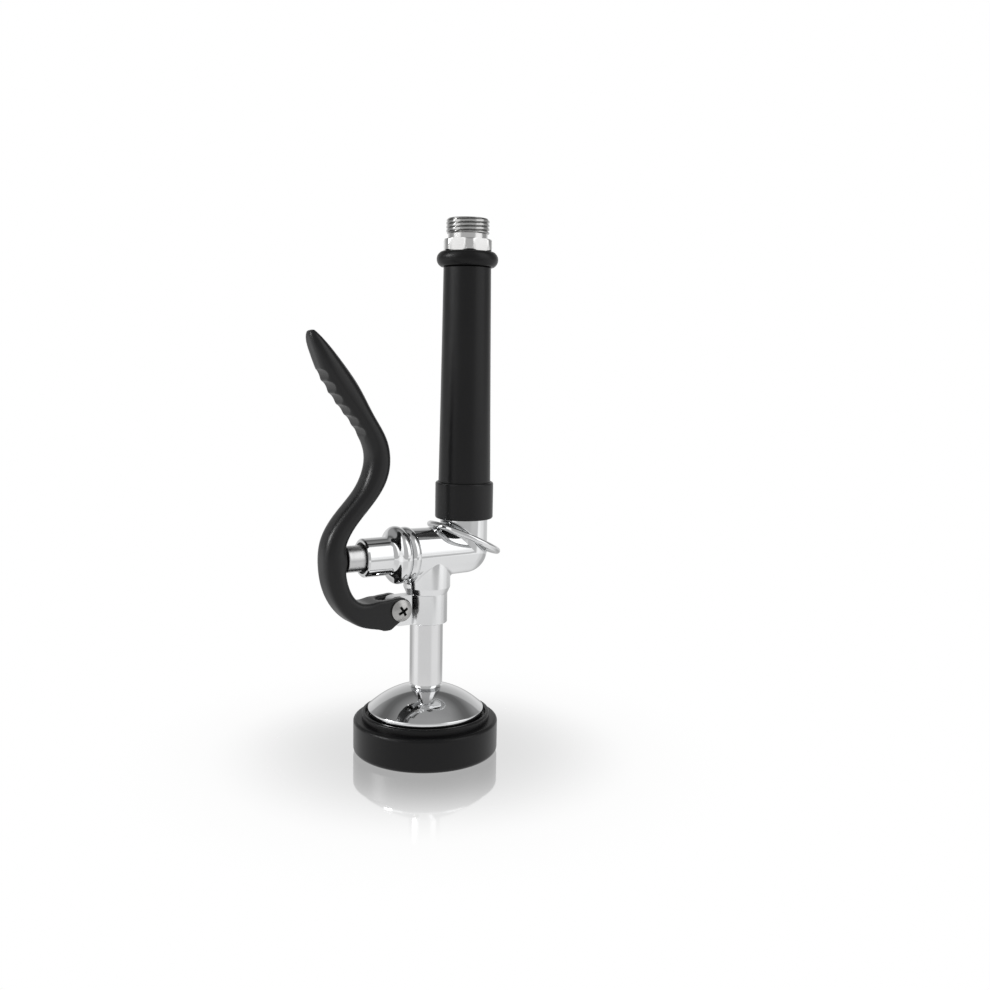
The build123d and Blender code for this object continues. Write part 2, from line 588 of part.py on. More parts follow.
def plunger():
    """Push rod with a flange that stops it in the bonnet and carries the spring."""
    flange_r = BONNET_CAVITY_R - FREE_GAP
    pilot_x = SPRING_START_X + PLUNGER_PILOT_L
    body = turned(Polyline(
        (0, PLUNGER_END_X), (PLUNGER_R, PLUNGER_END_X), (PLUNGER_R, PLUNGER_FLANGE_X),
        (flange_r, PLUNGER_FLANGE_X), (flange_r, SPRING_START_X), (PLUNGER_PILOT_R, SPRING_START_X),
        (PLUNGER_PILOT_R, pilot_x), (0, pilot_x), close=True),
        ((PLUNGER_R, PLUNGER_END_X, PLUNGER_CHAMFER),))
    return on_valve(body - rod(STEM_R + SCREWED_GAP, pilot_x - STEM_THREAD_L, pilot_x))


def valve_stem():
    start = SPRING_START_X + PLUNGER_PILOT_L - STEM_THREAD_L
    end = DISC_X + DISC_T + HOLDER_BACK + NUT_H + STEM_END_SPARE
    return on_valve(rod(STEM_R, start, DISC_X) + rod(STEM_END_R, DISC_X, end))


def return_spring():
    start = SPRING_START_X + SPRING_WIRE_R
    length = SEAT_X - SPRING_WIRE_R - start
    coil = Helix(length / SPRING_TURNS, length, SPRING_R)
    wire = Plane(coil @ 0, z_dir=coil % 0) * Circle(SPRING_WIRE_R)
    return on_valve(Pos(0, 0, start) * sweep(wire, path=coil))


def seat_washer():
    return on_valve(pipe(DISC_R, STEM_END_R + SCREWED_GAP, DISC_X, DISC_X + DISC_T))


def disc_holder():
    """Cup that holds the seat washer by its back and its edge."""
    back = DISC_X + DISC_T
    cup = rod(HOLDER_R, back - HOLDER_RIM, back + HOLDER_BACK) - rod(DISC_R + SCREWED_GAP, back - HOLDER_RIM, back)
    return on_valve(cup - rod(STEM_END_R + SCREWED_GAP, back, back + HOLDER_BACK))


def disc_nut():
    low = DISC_X + DISC_T + HOLDER_BACK
    return on_valve(hexagon_rod(NUT_AF, low, low + NUT_H) - rod(STEM_END_R + SCREWED_GAP, low, low + NUT_H))


# ---- grip --------------------------------------------------------------------------------------
def grip_tube():
    return on_grip(pipe(GRIP_TUBE_R, GRIP_TUBE_R - GRIP_TUBE_WALL, NECK_SOCKET_Z, GRIP_TUBE_TOP_Z))


def neck_seal():
    return on_grip(Pos(0, 0, NECK_RING_Z) * Torus(GRIP_TUBE_R + NECK_RING_WIRE, NECK_RING_WIRE))


def grip_sleeve():
    """Long tapered sleeve, slightly hollow along its length."""
    inner = GRIP_TUBE_R + SCREWED_GAP
    middle = (SLEEVE_FOOT_Z + SLEEVE_TOP_Z) / 2
    side = ThreePointArc((SLEEVE_FOOT_R, SLEEVE_FOOT_Z), (SLEEVE_WAIST_R, middle),
                         (SLEEVE_TOP_R, SLEEVE_TOP_Z))
    wall = Polyline((SLEEVE_TOP_R, SLEEVE_TOP_Z), (inner, SLEEVE_TOP_Z), (inner, SLEEVE_FOOT_Z),
                    (SLEEVE_FOOT_R, SLEEVE_FOOT_Z))
    return on_grip(turned([side, wall], ((SLEEVE_TOP_R, SLEEVE_TOP_Z, SLEEVE_ROUND),)))


def grip_cuff():
    """Stepped cuff over the body's neck and the foot of the sleeve."""
    neck_fit = ELBOW_R + SCREWED_GAP
    sleeve_fit = SLEEVE_FOOT_R + SCREWED_GAP
    top = CUFF_Z + CUFF_L
    outline = Polyline((neck_fit, CUFF_Z), (CUFF_R, CUFF_Z), (CUFF_R, top), (sleeve_fit, top),
                       (sleeve_fit, NECK_TOP_Z), (neck_fit, NECK_TOP_Z), close=True)
    return on_grip(turned(outline, ((CUFF_R, CUFF_Z, CUFF_FOOT_ROUND),
                                    (CUFF_R, top, (CUFF_R - sleeve_fit) * 0.8))))


def grip_bead():
    low = SLEEVE_TOP_Z + SCREWED_GAP
    top = HEX_Z - SCREWED_GAP
    inner = GRIP_TUBE_R + SCREWED_GAP
    bulge = ThreePointArc((BEAD_NECK_R, low), (BEAD_R, (low + top) / 2), (BEAD_NECK_R, top))
    return on_grip(turned([bulge, Polyline((BEAD_NECK_R, top), (inner, top), (inner, low),
                                           (BEAD_NECK_R, low))]))


# ---- inlet -------------------------------------------------------------------------------------
def inlet_nipple():
    """Hexagon with the male hose thread above it and the screwed spigot below it."""
    bar = chamfer(rod(HEX_BAR_R, HEX_Z, HEX_Z + HEX_H).edges().filter_by(GeomType.CIRCLE), HEX_CHAMFER)
    hexagon = bar & Rot(0, 0, HEX_TURN) * hexagon_rod(HEX_AF, HEX_Z, HEX_Z + HEX_H)
    relief = rod(RELIEF_R, HEX_Z + HEX_H, THREAD_Z)
    thread = turned(Polyline((0, THREAD_Z), (THREAD_R - THREAD_CHAMFER / 2, THREAD_Z),
                             (THREAD_R, THREAD_Z + THREAD_CHAMFER / 2), (THREAD_R, INLET_Z - THREAD_CHAMFER),
                             (THREAD_R - THREAD_CHAMFER, INLET_Z), (0, INLET_Z), close=True))
    spigot = rod(NIPPLE_SPIGOT_R, HEX_Z - NIPPLE_SPIGOT_L, HEX_Z)
    nipple = hexagon + relief + thread + spigot
    nipple -= rod(NIPPLE_BORE_R, HEX_Z - NIPPLE_SPIGOT_L, INLET_Z)
    nipple -= rod(WASHER_R + SCREWED_GAP, INLET_Z - WASHER_T - WASHER_SINK, INLET_Z)
    return on_grip(nipple)


def nipple_seal():
    return on_grip(pipe(GRIP_TUBE_R, NIPPLE_SPIGOT_R + SCREWED_GAP, GRIP_TUBE_TOP_Z, HEX_Z))


def inlet_washer():
    top = INLET_Z - WASHER_SINK
    return on_grip(pipe(WASHER_R, WASHER_HOLE_R, top - WASHER_T, top))


# ---- hold-down ring ----------------------------------------------------------------------------
def hold_down_ring():
    """Loose wire ring about the grip, leaning with one side on top of the chamber."""
    reach = HOLD_RING_R * cos(radians(HOLD_RING_TILT))
    rise = HOLD_RING_R * sin(radians(HOLD_RING_TILT))
    top = VALVE_Z + chamber_radius(GRIP_X - reach)
    centre = Pos(GRIP_X, 0, top + HOLD_RING_WIRE + SCREWED_GAP - rise)
    return centre * Rot(0, HOLD_RING_TILT, 0) * Torus(HOLD_RING_R, HOLD_RING_WIRE)


# ---- lever and its pivot -----------------------------------------------------------------------
def station_point(index):
    x, z = LEVER_STATIONS[index][:2]
    return Vector(PIVOT_X + x, 0, PIVOT_Z + z)


def station_direction(index):
    """Direction of the lever's spine at a station, towards the fork."""
    before = max(index - 1, 0)
    after = min(index + 1, len(LEVER_STATIONS) - 1)
    return (station_point(after) - station_point(before)).normalized()


def lever_arm():
    """S-shaped arm, lofted through rounded sections square to its spine."""
    sections = []
    for index, (_, _, thickness, width, corner) in enumerate(LEVER_STATIONS):
        along = station_direction(index)
        inward = Vector(-along.Z, 0, along.X)
        plane = Plane(station_point(index), x_dir=inward, z_dir=along)
        sections.append(plane * RectangleRounded(thickness, width, corner))
    return loft(sections)


def heel_line():
    """Lower corner of the fork, and the end of its slanted face under the pivot."""
    heel = (-HEEL_BACK, -HEEL_DROP)
    return heel, touch_point(heel, (0, 0), HEEL_FACE, -1)


def fork_end():
    """Flat-sided end of the fork, round about the pivot."""
    x, z, thickness = LEVER_STATIONS[-1][:3]
    start = x - FORK_LAP
    cheek = Polyline((start, -HEEL_DROP), *heel_line(), (0, 0), (0, EAR_R),
                     (start, z + thickness / 2), close=True)
    return across(Pos(PIVOT_X, PIVOT_Z) * (make_face(cheek) + Circle(EAR_R)), LEVER_W)


def heel_cut():
    """Block that cuts the slanted heel under the fork."""
    heel, graze = heel_line()
    slant = degrees(atan2(graze[1] - heel[1], graze[0] - heel[0]))
    below = Pos(*graze) * Rot(0, 0, slant) * Pos(0, -EAR_R) * Rectangle(8 * EAR_R, 2 * EAR_R)
    return across(Pos(PIVOT_X, PIVOT_Z) * below, 2 * LEVER_W)


def share_along(share):
    """Point, direction and thickness of the arm at a share of its length from the tip."""
    points = [station_point(i) for i in range(len(LEVER_STATIONS))]
    steps = [(b - a).length for a, b in zip(points, points[1:])]
    left = share * sum(steps)
    index = 0
    while left > steps[index]:
        left -= steps[index]
        index += 1
    part = left / steps[index]
    here = points[index] + (points[index + 1] - points[index]) * part
    along = station_direction(index) * (1 - part) + station_direction(index + 1) * part
    thickness = LEVER_STATIONS[index][2] * (1 - part) + LEVER_STATIONS[index + 1][2] * part
    return here, along.normalized(), thickness


def finger_notches():
    """Round cutters across the outer face of the blade."""
    cutters = []
    for i in range(NOTCH_COUNT):
        share = NOTCH_FIRST + (NOTCH_LAST - NOTCH_FIRST) * i / (NOTCH_COUNT - 1)
        here, along, thickness = share_along(share)
        outward = Vector(along.Z, 0, -along.X)
        centre = here + outward * (thickness / 2 + NOTCH_R - NOTCH_DEPTH)
        cutters.append(Pos(*centre) * Rot(90, 0, 0) * Cylinder(NOTCH_R, 2 * LEVER_W))
    return cutters


def plunger_pad():
    """Round pad with a slight crown on the arm's inner face."""
    front = PLUNGER_END_X - PAD_GAP
    crown = Pos(0, 0, front - PAD_CROWN_R) * Sphere(PAD_CROWN_R)
    return on_valve(crown & rod(PAD_R, front - PAD_L, front))


def lever():
    body = lever_arm() + fork_end() + plunger_pad()
    slot_length = 2 * EAR_R + SLOT_DEPTH
    slot_root = PIVOT_X - SLOT_DEPTH + FORK_GAP / 2
    tall = 6 * EAR_R
    slot = Pos(slot_root + slot_length / 2, 0, PIVOT_Z) * Box(slot_length, FORK_GAP, tall)
    slot += Pos(slot_root, 0, PIVOT_Z) * Cylinder(FORK_GAP / 2, tall)
    body = body - heel_cut() - slot - on_pivot(rod(SCREW_R + SCREWED_GAP, -LEVER_W, LEVER_W))
    return body - finger_notches()


def pivot_screw():
    """Pan head screw through both ears of the fork."""
    end = LEVER_W / 2 + PIVOT_NUT_H + SCREW_SPARE
    head = pan_head(SCREW_HEAD_R, SCREW_HEAD_H)
    return on_pivot(Pos(0, 0, -LEVER_W / 2) * (head + rod(SCREW_R, 0, end + LEVER_W / 2)))


def pivot_nut():
    low = LEVER_W / 2
    nut = hexagon_rod(PIVOT_NUT_AF, low, low + PIVOT_NUT_H)
    return on_pivot(nut - rod(SCREW_R + SCREWED_GAP, low, low + PIVOT_NUT_H))


PARTS = (
    bumper_ring, spray_bell, bell_seal, spray_face, face_seal, face_screw, outlet_tube, outlet_seal,
    lever_bracket, valve_body, valve_seat, bonnet, bonnet_seal, plunger_wiper, plunger_seal, plunger,
    valve_stem, return_spring, seat_washer, disc_holder, disc_nut, grip_tube, neck_seal, grip_sleeve,
    grip_cuff, grip_bead, inlet_nipple, nipple_seal, inlet_washer, hold_down_ring, lever, pivot_screw,
    pivot_nut)

os.makedirs("parts", exist_ok=True)
for make_part in PARTS:
    export_step(make_part(), "parts/" + make_part.__name__ + ".step")
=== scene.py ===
import json
import math

import bpy
from mathutils import Matrix, Quaternion, Vector


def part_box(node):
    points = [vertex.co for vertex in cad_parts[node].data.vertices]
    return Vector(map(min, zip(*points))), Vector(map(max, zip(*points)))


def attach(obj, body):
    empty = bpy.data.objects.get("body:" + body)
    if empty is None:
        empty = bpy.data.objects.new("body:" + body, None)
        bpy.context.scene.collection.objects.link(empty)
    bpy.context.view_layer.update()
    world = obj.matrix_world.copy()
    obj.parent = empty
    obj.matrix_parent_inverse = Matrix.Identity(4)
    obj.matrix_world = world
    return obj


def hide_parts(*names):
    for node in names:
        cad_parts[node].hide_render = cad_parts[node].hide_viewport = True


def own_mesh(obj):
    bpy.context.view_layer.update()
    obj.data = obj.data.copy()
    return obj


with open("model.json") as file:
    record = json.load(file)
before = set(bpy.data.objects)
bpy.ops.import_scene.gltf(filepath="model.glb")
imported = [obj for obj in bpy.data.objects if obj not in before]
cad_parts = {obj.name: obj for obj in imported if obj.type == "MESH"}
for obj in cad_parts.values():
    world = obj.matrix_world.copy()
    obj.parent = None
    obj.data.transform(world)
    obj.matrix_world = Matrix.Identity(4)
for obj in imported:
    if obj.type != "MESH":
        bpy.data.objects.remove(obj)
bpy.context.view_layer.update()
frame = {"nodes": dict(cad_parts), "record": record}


# ---- camera ----------------------------------------------------------------------------------
# A long-lens view from the lever's side, a little above the valve, with the sprayer upright
# and the grip left of the middle.
eye = Vector((-0.2507, -0.4537, 0.1929))
sight = Vector((0.53434, 0.83635, -0.12254))
roll = math.radians(1.015)


def add_object(name, data):
    """New object in the scene."""
    made = bpy.data.objects.new(name, data)
    bpy.context.scene.collection.objects.link(made)
    return made


lens = bpy.data.cameras.new("camera")
lens.lens = 38.69
lens.sensor_width = 36
lens.clip_start = 0.01
camera = add_object("camera", lens)
camera.location = eye
camera.rotation_mode = "QUATERNION"
camera.rotation_quaternion = sight.to_track_quat("-Z", "Y") @ Quaternion((0, 0, 1), roll)
bpy.context.scene.camera = camera


# ---- studio ----------------------------------------------------------------------------------
# A pale sheet behind the sprayer, a grey room in front of it and a dim ceiling between them. Two
# tall soft boxes stand left and right of the front, and polished metal sees them as panels with
# soft edges, with a small bright lamp in the left one. The camera sees plain white.
bpy.context.scene.view_settings.view_transform = "Standard"
FRONT = Vector((-0.485, -0.875, 0.0))
RIGHT = Vector((0.875, -0.485, 0.0))


class Wire:
    """A shader socket that can be summed and scaled, each step being a Math node."""

    def __init__(self, tree, socket=None):
        self.tree = tree
        self.socket = socket

    def put(self, target, value):
        """Link a wire to a socket, or set a plain value on it."""
        if isinstance(value, Wire):
            self.tree.links.new(value.socket, target)
        else:
            target.default_value = value

    def node(self, kind, settings=None, sockets=None, out=0):
        """Add a node, set it up, then fill its sockets with values or links."""
        made = self.tree.nodes.new(kind)
        for name, value in (settings or {}).items():
            if name == "stops":
                ramp = made.color_ramp.elements
                while len(ramp) < len(value):
                    ramp.new(1.0)
                for stop, (place, shade) in zip(ramp, value):
                    stop.position = place
                    stop.color = (shade, shade, shade, 1)
            else:
                setattr(made, name, value)
        for name, value in (sockets or {}).items():
            self.put(made.inputs[name], value)
        return Wire(self.tree, made.outputs[out]) if made.outputs else made

    def math(self, operation, *values):
        return self.node("ShaderNodeMath", {"operation": operation}, dict(enumerate(values)))

    def __add__(self, other):
        return self.math("ADD", self, other)

    __radd__ = __add__

    def __sub__(self, other):
        return self.math("SUBTRACT", self, other)

    def __rsub__(self, other):
        return self.math("SUBTRACT", other, self)

    def __mul__(self, other):
        return self.math("MULTIPLY", self, other)

    __rmul__ = __mul__

    def __truediv__(self, other):
        return self.math("DIVIDE", self, other)

    def __pow__(self, other):
        return self.math("POWER", self, other)

    def along(self, direction):
        """Share of a vector that lies along a direction."""
        return self.node("ShaderNodeVectorMath", {"operation": "DOT_PRODUCT"},
                         {0: self, 1: direction}, "Value")

    def ease(self, low, high):
        """Soft step from 0 at low to 1 at high."""
        return self.node("ShaderNodeMapRange", {"interpolation_type": "SMOOTHSTEP"},
                         {"Value": self, "From Min": low, "From Max": high})


def ray_kinds(wire):
    """Masks of the camera's own rays, and of the rays that metal and glass send out."""
    path = wire.node("ShaderNodeLightPath").socket.node.outputs
    camera_ray, glossy, passed = (Wire(wire.tree, path[name]) for name in
                                  ("Is Camera Ray", "Is Glossy Ray", "Is Transmission Ray"))
    mirror = wire.node("ShaderNodeMath", {"operation": "ADD", "use_clamp": True},
                       {0: glossy, 1: passed})
    return camera_ray, mirror


def up_the_wall(rise, stops):
    """Brightness of one side of the room, from the floor line to overhead."""
    return rise.node("ShaderNodeValToRGB", {"stops": stops}, {"Fac": rise * (2 / math.pi)})


def window(turn, rise, left, right):
    """Soft-edged bright panel between two turns from the front."""
    across = turn.ease(left - 0.03, left + 0.03) * (1 - turn.ease(right - 0.03, right + 0.03))
    return across * rise.ease(-0.30, 0.35) * (1 - rise.ease(0.95, 1.15))


room = bpy.data.worlds.new("room")
room.use_nodes = True
room.node_tree.nodes.clear()
air = Wire(room.node_tree)
toward = air.node("ShaderNodeTexCoord", None, None, "Generated")
front = toward.along(FRONT)
turn = air.math("ARCTAN2", toward.along(RIGHT), front)
rise = air.math("ARCSINE", toward.along((0, 0, 1)))
ahead = up_the_wall(rise, ((0, 0.57), (0.45, 0.56), (0.62, 0.60), (0.8, 0.46), (1, 0.38)))
aside = up_the_wall(rise, ((0, 0.44), (0.3, 0.34), (0.44, 0.15), (0.52, 0.15), (0.68, 0.32),
                           (1, 0.38)))
behind = up_the_wall(rise, ((0, 0.84), (0.08, 0.80), (0.2, 0.66), (0.32, 0.54), (0.5, 0.42),
                            (1, 0.42)))
from_back = math.pi - air.math("ABSOLUTE", turn)
cove = 1 - ((from_back / 0.76) ** 2 + (rise / 0.70) ** 2).ease(0.90, 1.10)
level = aside + (ahead - aside) * front.ease(-0.15, 0.3) + (behind - aside) * cove
panels = window(turn, rise, -1.57, -0.77) + window(turn, rise, 0.77, 1.57)
panel_level, top_level, lamp_level = 1.55, 1.6, 16.0
level = level * (1 - panels) + panel_level * panels
lamp_turn, lamp_rise = -1.36, 0.42
from_lamp = ((turn - lamp_turn) / 0.20) ** 2 + ((rise - lamp_rise) / 0.17) ** 2
lamp_glow = 1 - from_lamp.ease(0.55, 1.0)
seen, mirror = ray_kinds(air)
dark = air.node("ShaderNodeBackground", None, {"Color": (0, 0, 0, 1)})
white = air.node("ShaderNodeBackground", None, {"Color": (1, 1, 1, 1), "Strength": 1.0})
panel = air.node("ShaderNodeBackground", None, {"Color": (1, 1, 1, 1), "Strength": top_level})
light = air.node("ShaderNodeBackground", None, {"Color": (1, 1, 1, 1), "Strength": 0.50})
small_lamp = air.node("ShaderNodeBackground", None, {"Color": (1, 1, 1, 1), "Strength": lamp_level})
studio = air.node("ShaderNodeMixShader", None, {0: level / top_level, 1: dark, 2: panel})
studio = air.node("ShaderNodeMixShader", None, {0: lamp_glow, 1: studio, 2: small_lamp})
mixed = air.node("ShaderNodeMixShader", None, {0: mirror, 1: light, 2: studio})
mixed = air.node("ShaderNodeMixShader", None, {0: seen, 1: mixed, 2: white})
air.node("ShaderNodeOutputWorld", None, {"Surface": mixed})
bpy.context.scene.world = room


def soft_box(name, turn, rise, size, distance, power):
    """Rectangular soft box that stands at a turn from the front and faces the valve."""
    turn, rise = math.radians(turn), math.radians(rise)
    aim = Vector((0, 0, 0.12))
    level_way = FRONT * math.cos(turn) + RIGHT * math.sin(turn)
    way = level_way * math.cos(rise) + Vector((0, 0, math.sin(rise)))
    data = bpy.data.lights.new(name, "AREA")
    data.shape = "RECTANGLE"
    data.size, data.size_y = size
    data.energy = power
    lamp = add_object(name, data)
    lamp.visible_glossy = False
    lamp.location = aim + way * distance
    lamp.rotation_mode = "QUATERNION"
    lamp.rotation_quaternion = (-way).to_track_quat("-Z", "Y")


soft_box("left_box", -67, 30, (0.72, 0.90), 0.95, 2.8)
soft_box("right_box", 66, 33, (0.66, 0.90), 0.95, 3.6)


# ---- floor -----------------------------------------------------------------------------------
# A pale sheet under the sprayer that ends a hand's width in front of it, on a larger floor that
# is grey further out. It looks as white as the room, keeps the shadow and has a faint gloss.
sheet = bpy.data.meshes.new("floor")
reach = 6.0
sheet.from_pydata([(-reach, -reach, 0), (reach, -reach, 0), (reach, reach, 0), (-reach, reach, 0)],
                  [], [(0, 1, 2, 3)])
floor = add_object("floor", sheet)
floor.location.z = -0.0004
paper = bpy.data.materials.new("floor_paper")
paper.use_nodes = True
paper.node_tree.nodes.clear()
pale = Wire(paper.node_tree)
place = pale.node("ShaderNodeTexCoord", None, None, "Object")
distance = pale.node("ShaderNodeVectorMath", {"operation": "LENGTH"}, {0: place}, "Value")
forward, sideways = place.along(FRONT), place.along(RIGHT)
bearing = pale.math("ARCTAN2", sideways, forward)
seen, mirror = ray_kinds(pale)
edge = forward.ease(0.19, 0.25) * sideways.ease(0.18, 0.28)
beyond = edge + (1 - edge) * forward.ease(0.56, 0.66)
# Painted light: in reflections the floor glows brighter toward the soft boxes and darker behind.
by_left_box = bearing.ease(-1.75, -1.45) * (1 - bearing.ease(-1.15, -0.85))
by_right_box = bearing.ease(0.45, 0.8) * (1 - bearing.ease(1.4, 1.7))
rear = pale.math("ABSOLUTE", bearing).ease(1.75, 2.15)
painted_bounce = 0.80 + 0.20 * distance.ease(0.35, 0.42)
painted_bounce = painted_bounce + 0.26 * by_left_box + 0.16 * by_right_box - 0.28 * rear
near_level = 0.94
painted_bounce = near_level + (painted_bounce - near_level) * distance.ease(0.06, 0.16)
# Painted light: further out, too, the floor glows brighter toward the two soft boxes.
outer = 0.57 + 0.60 * (by_left_box + by_right_box) * distance.ease(0.3, 2.0)
painted_bounce = painted_bounce * (1 - beyond) + outer * beyond
matt = pale.node("ShaderNodeBsdfDiffuse", None, {"Color": (0.9, 0.9, 0.9, 1)})
black = pale.node("ShaderNodeEmission", None, {"Color": (0, 0, 0, 1)})
glow = pale.node("ShaderNodeEmission", None, {"Color": (1, 1, 1, 1), "Strength": 1.0})
gloss = pale.node("ShaderNodeBsdfGlossy", None, {"Color": (1, 1, 1, 1), "Roughness": 0.06})
lit = 0.84 + 0.16 * distance.ease(0.04, 0.16)
shown = pale.node("ShaderNodeMixShader", None, {0: seen * lit, 1: matt, 2: glow})
gloss_share = seen * 0.58 * (1 - distance.ease(0.038, 0.11))
shown = pale.node("ShaderNodeMixShader", None, {0: gloss_share, 1: shown, 2: gloss})
strong = pale.node("ShaderNodeEmission", None, {"Color": (1, 1, 1, 1), "Strength": top_level})
bright = pale.node("ShaderNodeMixShader", None, {0: painted_bounce / top_level, 1: black, 2: strong})
shown = pale.node("ShaderNodeMixShader", None, {0: mirror, 1: shown, 2: bright})
pale.node("ShaderNodeOutputMaterial", None, {"Surface": shown})
sheet.materials.append(paper)


# ---- chromed castings ------------------------------------------------------------------------
# The valve body, the bonnet, the lever bracket and the bell are brass, ground, polished and
# chrome plated. The hold-down ring is chromed wire.
def new_finish(name):
    """An empty material and a wire into its tree."""
    made = bpy.data.materials.new(name)
    made.use_nodes = True
    made.node_tree.nodes.clear()
    return made, Wire(made.node_tree)


def close_finish(wire, constants, varying):
    """Principled shader with plain values set on it and the varying inputs linked."""
    sockets = dict(constants)
    sockets.update(varying)
    shader = wire.node("ShaderNodeBsdfPrincipled", None, sockets)
    wire.node("ShaderNodeOutputMaterial", None, {"Surface": shader})


def close_metal(wire, colour, rough, normal):
    """Principled shader of a metal surface."""
    close_finish(wire, {"Metallic": 1.0},
                 {"Base Color": colour, "Roughness": rough, "Normal": normal})


def here(wire, stretch=(1, 1, 1)):
    """Place on the piece, stretched along its axes."""
    spot = wire.node("ShaderNodeTexCoord", None, None, "Object")
    return wire.node("ShaderNodeMapping", None, {"Vector": spot, "Scale": stretch})


def patches(wire, place, scale, detail=3.0, rough=0.5):
    """Soft cloudy pattern between 0 and 1."""
    return wire.node("ShaderNodeTexNoise", None,
                     {"Vector": place, "Scale": scale, "Detail": detail, "Roughness": rough}, "Fac")


def tint(wire, mask, low, high):
    """Colour between two colours."""
    return wire.node("ShaderNodeMix", {"data_type": "RGBA"},
                     {"Factor": mask, "A": low, "B": high}, "Result")


def bump(wire, height, distance, strength):
    """Slope of a surface whose height follows a pattern."""
    return wire.node("ShaderNodeBump", None,
                     {"Height": height, "Distance": distance, "Strength": strength}, "Normal")


def polished_chrome(name, low, high, roughness, satin_below=0.0):
    """Chrome plate, mirror bright above a height and only brushed below it."""
    finish, wire = new_finish(name)
    place = here(wire)
    wear = patches(wire, place, 55.0)
    haze = patches(wire, place, 420.0, 2.0)
    satin = 1 - place.along((0, 0, 1)).ease(satin_below - 0.004, satin_below + 0.005)
    colour = tint(wire, wear * (1 - satin) + satin, low, high)
    rough = roughness + wear * 0.05 + satin * 0.10
    normal = bump(wire, haze + wear * 2.0, 0.00001, 0.3)
    close_metal(wire, colour, rough, normal)
    return finish


def dress(finish, *nodes):
    """Give CAD nodes a finish."""
    for name in nodes:
        piece = frame["nodes"][name]
        piece.data.materials.clear()
        piece.data.materials.append(finish)


chrome_low, chrome_high, chrome_rough = (0.67, 0.675, 0.68, 1), (0.75, 0.755, 0.76, 1), 0.035
dress(polished_chrome("polished_chrome", chrome_low, chrome_high, chrome_rough),
      "spray_bell", "hold_down_ring", "bonnet")
branch_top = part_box("lever_bracket")[1][2] + 0.012
dress(polished_chrome("cast_chrome", chrome_low, chrome_high, chrome_rough, branch_top),
      "valve_body", "lever_bracket")


# ---- outlet tube -----------------------------------------------------------------------------
# Drawn brass tube between the bell and the bracket, turned down at both ends. Its satin chrome is
# softer than the castings', with fine lines round it.
def satin_chrome():
    finish, wire = new_finish("satin_chrome")
    rings = patches(wire, here(wire, (1, 1, 60)), 40.0, 2.0)
    wear = patches(wire, here(wire), 70.0)
    colour = tint(wire, wear, (0.69, 0.69, 0.695, 1), (0.75, 0.75, 0.755, 1))
    rough = 0.11 + rings * 0.07
    normal = bump(wire, rings, 0.00001, 0.5)
    close_metal(wire, colour, rough, normal)
    return finish


dress(satin_chrome(), "outlet_tube")


# ---- turned steel ----------------------------------------------------------------------------
# The plunger, the spray face with its screw, and the nut of the pivot are stainless steel. They
# are turned on a lathe, and the tool leaves fine rings.
def turned_steel(name, stretch, low, high, roughness):
    finish, wire = new_finish(name)
    rings = patches(wire, here(wire, stretch), 60.0, 3.0)
    wear = patches(wire, here(wire), 160.0)
    colour = tint(wire, wear, low, high)
    rough = roughness + rings * 0.16
    normal = bump(wire, rings, 0.00002, 0.6)
    close_metal(wire, colour, rough, normal)
    return finish


steel_low, steel_high = (0.50, 0.50, 0.505, 1), (0.66, 0.66, 0.66, 1)
dress(turned_steel("steel_along_x", (70, 1, 1), steel_low, steel_high, 0.22), "plunger")
dress(turned_steel("steel_along_z", (1, 1, 70), steel_low, steel_high, 0.24),
      "spray_face", "face_screw")
dull_low, dull_high = (0.46, 0.455, 0.45, 1), (0.60, 0.595, 0.585, 1)
dress(turned_steel("steel_along_y", (1, 70, 1), dull_low, dull_high, 0.26),
      "pivot_nut", "pivot_screw")


# ---- pivot screw -----------------------------------------------------------------------------
# Stainless pan head screw with a cross recess, which stopped askew when it was tightened. The
# recess is coloured dark as painted shade.
def screw_steel(seat, crown_r):
    """Turned steel with painted shade below the head's crown, a ball about the seat of the crown.
    """
    finish, wire = new_finish("screw_steel")
    place = here(wire)
    reach = wire.node("ShaderNodeVectorMath", {"operation": "DISTANCE"},
                      {0: place, 1: seat}, "Value")
    sunk = (crown_r - reach).ease(0.00012, 0.0004)
    off_axis = wire.node("ShaderNodeVectorMath", {"operation": "MULTIPLY"},
                         {0: place, 1: (1, 0, 1)})
    off_axis = wire.node("ShaderNodeVectorMath", {"operation": "DISTANCE"},
                         {0: off_axis, 1: (seat[0], 0, seat[2])}, "Value")
    painted_recess_shade = sunk * (1 - off_axis.ease(0.0038, 0.0044))
    rings = patches(wire, place, 700.0, 3.0)
    colour = tint(wire, rings, (0.36, 0.356, 0.35, 1), (0.52, 0.515, 0.505, 1))
    # Painted shade: the cross recess is coloured near black, where shade falls in it.
    colour = tint(wire, painted_recess_shade, colour, (0.02, 0.02, 0.02, 1))
    rough = 0.27 + rings * 0.14 + painted_recess_shade * 0.4
    normal = bump(wire, rings, 0.00002, 0.6)
    close_metal(wire, colour, rough, normal)
    return finish


head_low, head_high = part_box("pivot_screw")
pivot = Vector(((head_low[0] + head_high[0]) / 2, 0, (head_low[2] + head_high[2]) / 2))
screw_crown_r = 0.009155    # the domed top of the head
turned = frame["nodes"]["pivot_screw"].data.copy()
turned.name = "tightened_screw"
askew = Matrix.Rotation(math.radians(-31), 4, "Y")
turned.transform(Matrix.Translation(pivot) @ askew @ Matrix.Translation(-pivot))
screw = add_object("tightened_screw", turned)
turned.materials.clear()
turned.materials.append(screw_steel((pivot.x, head_low[1] + screw_crown_r, pivot.z), screw_crown_r))
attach(screw, "lever")
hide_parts("pivot_screw")
